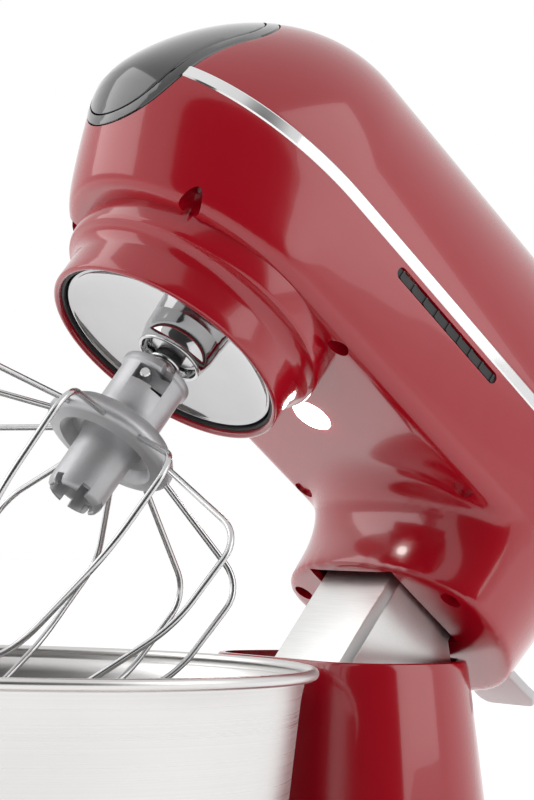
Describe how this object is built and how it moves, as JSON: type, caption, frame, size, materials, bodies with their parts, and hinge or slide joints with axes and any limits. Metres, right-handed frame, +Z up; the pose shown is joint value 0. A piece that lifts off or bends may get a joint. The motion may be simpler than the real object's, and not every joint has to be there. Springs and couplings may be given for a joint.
{
  "type": "tilt-head stand mixer",
  "caption": "Tilt-head kitchen mixer: planetary head with balloon whisk on a hinged arm over a steel bowl, with a belt and gear drive inside.",
  "frame": {"origin": "on the table plane, under the middle of the box that holds the mixer with its head raised; the bowl axis is 94.8 mm in front of it", "axes": "+Z up, -Y towards the nose and the bowl, +X to the side with the speed knob"},
  "size_m": [0.2296, 0.4191, 0.445],
  "materials": {
    "red_shell": "deep red high gloss",
    "black_plastic": "black satin plastic",
    "rubber_black": "black rubber",
    "bright_trim": "bright chrome",
    "black_gloss": "black high gloss",
    "steel_bowl": "brushed stainless steel",
    "steel": "turned steel",
    "light_metal": "cast aluminium",
    "gear_brass": "sintered bronze",
    "motor_core": "laminated core with copper windings",
    "carbon": "carbon brush holders",
    "board": "green circuit board",
    "lens": "clear light lens, lit",
    "lever_grey": "light grey plastic",
    "hub_grey": "grey cast whisk hub"
  },
  "bodies": {
    "base": {"base_housing": "red_shell", "base_cover": "black_plastic", "rubber_feet": "rubber_black", "bowl_seat": "black_plastic", "hinge_bracket": "steel", "hinge_pin": "steel", "control_board": "board", "cord_inlet": "black_plastic", "base_screws": "steel", "knob_seat": "bright_trim"},
    "knob": {"speed_knob": "black_plastic"},
    "bowl": {"bowl": "steel_bowl", "bowl_foot": "steel_bowl"},
    "head": {"upper_shell": "red_shell", "lower_shell": "red_shell", "trim_band": "bright_trim", "nose_bezel": "black_gloss", "vent_inserts": "black_plastic", "led_lens": "lens", "led_board": "board", "hinge_block": "steel_bowl", "head_screws": "steel", "gearbox_housing": "light_metal", "ring_gear": "gear_brass", "shaft_bearings": "steel", "drive_bracket": "light_metal", "motor_housing": "light_metal", "motor_stator": "motor_core", "motor_brushes": "carbon", "motor_mount": "rubber_black", "belt": "rubber_black", "pto_housing": "light_metal", "lever_pin": "steel"},
    "cover": {"nose_cover": "black_gloss"},
    "lever": {"release_lever": "lever_grey"},
    "rotor": {"motor_rotor": "motor_core"},
    "counter": {"countershaft": "steel"},
    "carrier": {"planet_carrier": "bright_trim", "main_shaft": "steel"},
    "pto": {"pto_socket": "light_metal"},
    "planet": {"beater_shaft": "steel"},
    "whisk": {"whisk_hub": "hub_grey", "whisk_wires": "steel"}
  },
  "joints": [
    {"name": "head_tilt", "type": "hinge", "parent": "base", "child": "head", "pos_m": [0, 0.0985, 0.1528], "axis": [1, 0, 0], "range_deg": [0, 37.3]},
    {"name": "knob_turn", "type": "hinge", "parent": "base", "child": "knob", "pos_m": [0.07, 0.0702, 0.075], "axis": [1, 0, 0], "range_deg": [-30, 240]},
    {"name": "bowl_twist", "type": "hinge", "parent": "base", "child": "bowl", "pos_m": [0, -0.0948, 0.03], "axis": [0, 0, 1], "range_deg": [0, 33]},
    {"name": "cover_pull", "type": "slide", "parent": "head", "child": "cover", "axis": [0, -0.7955, 0.606], "range_m": [0, 0.03]},
    {"name": "lever_lift", "type": "hinge", "parent": "head", "child": "lever", "pos_m": [0, 0.13204, 0.19237], "axis": [1, 0, 0], "range_deg": [0, 9], "stiffness_Nm_per_rad": 0.4},
    {"name": "carrier_spin", "type": "hinge", "parent": "head", "child": "carrier", "pos_m": [0, -0.00242, 0.3393], "axis": [0, 0.606, 0.7955], "continuous": true},
    {"name": "counter_spin", "type": "hinge", "parent": "head", "child": "counter", "pos_m": [0, 0.06, 0.34203], "axis": [0, 0.606, 0.7955], "continuous": true},
    {"name": "rotor_spin", "type": "hinge", "parent": "head", "child": "rotor", "pos_m": [0, 0.11568, 0.29962], "axis": [0, 0.606, 0.7955], "continuous": true},
    {"name": "pto_spin", "type": "hinge", "parent": "head", "child": "pto", "pos_m": [0, -0.00424, 0.40292], "axis": [0, -0.7955, 0.606], "continuous": true},
    {"name": "beater_spin", "type": "hinge", "parent": "carrier", "child": "planet", "pos_m": [0.01318, -0.01781, 0.32588], "axis": [0, 0.606, 0.7955], "continuous": true},
    {"name": "whisk_twist", "type": "hinge", "parent": "planet", "child": "whisk", "pos_m": [0.01318, -0.04387, 0.29168], "axis": [0, -0.606, -0.7955], "range_deg": [0, 22]}
  ],
  "couplings": [
    {"joint": "counter_spin", "follows": "carrier_spin", "ratio": -5.8333},
    {"joint": "rotor_spin", "follows": "carrier_spin", "ratio": -27.708},
    {"joint": "pto_spin", "follows": "carrier_spin", "ratio": 1},
    {"joint": "beater_spin", "follows": "carrier_spin", "ratio": -2.625}
  ]
}
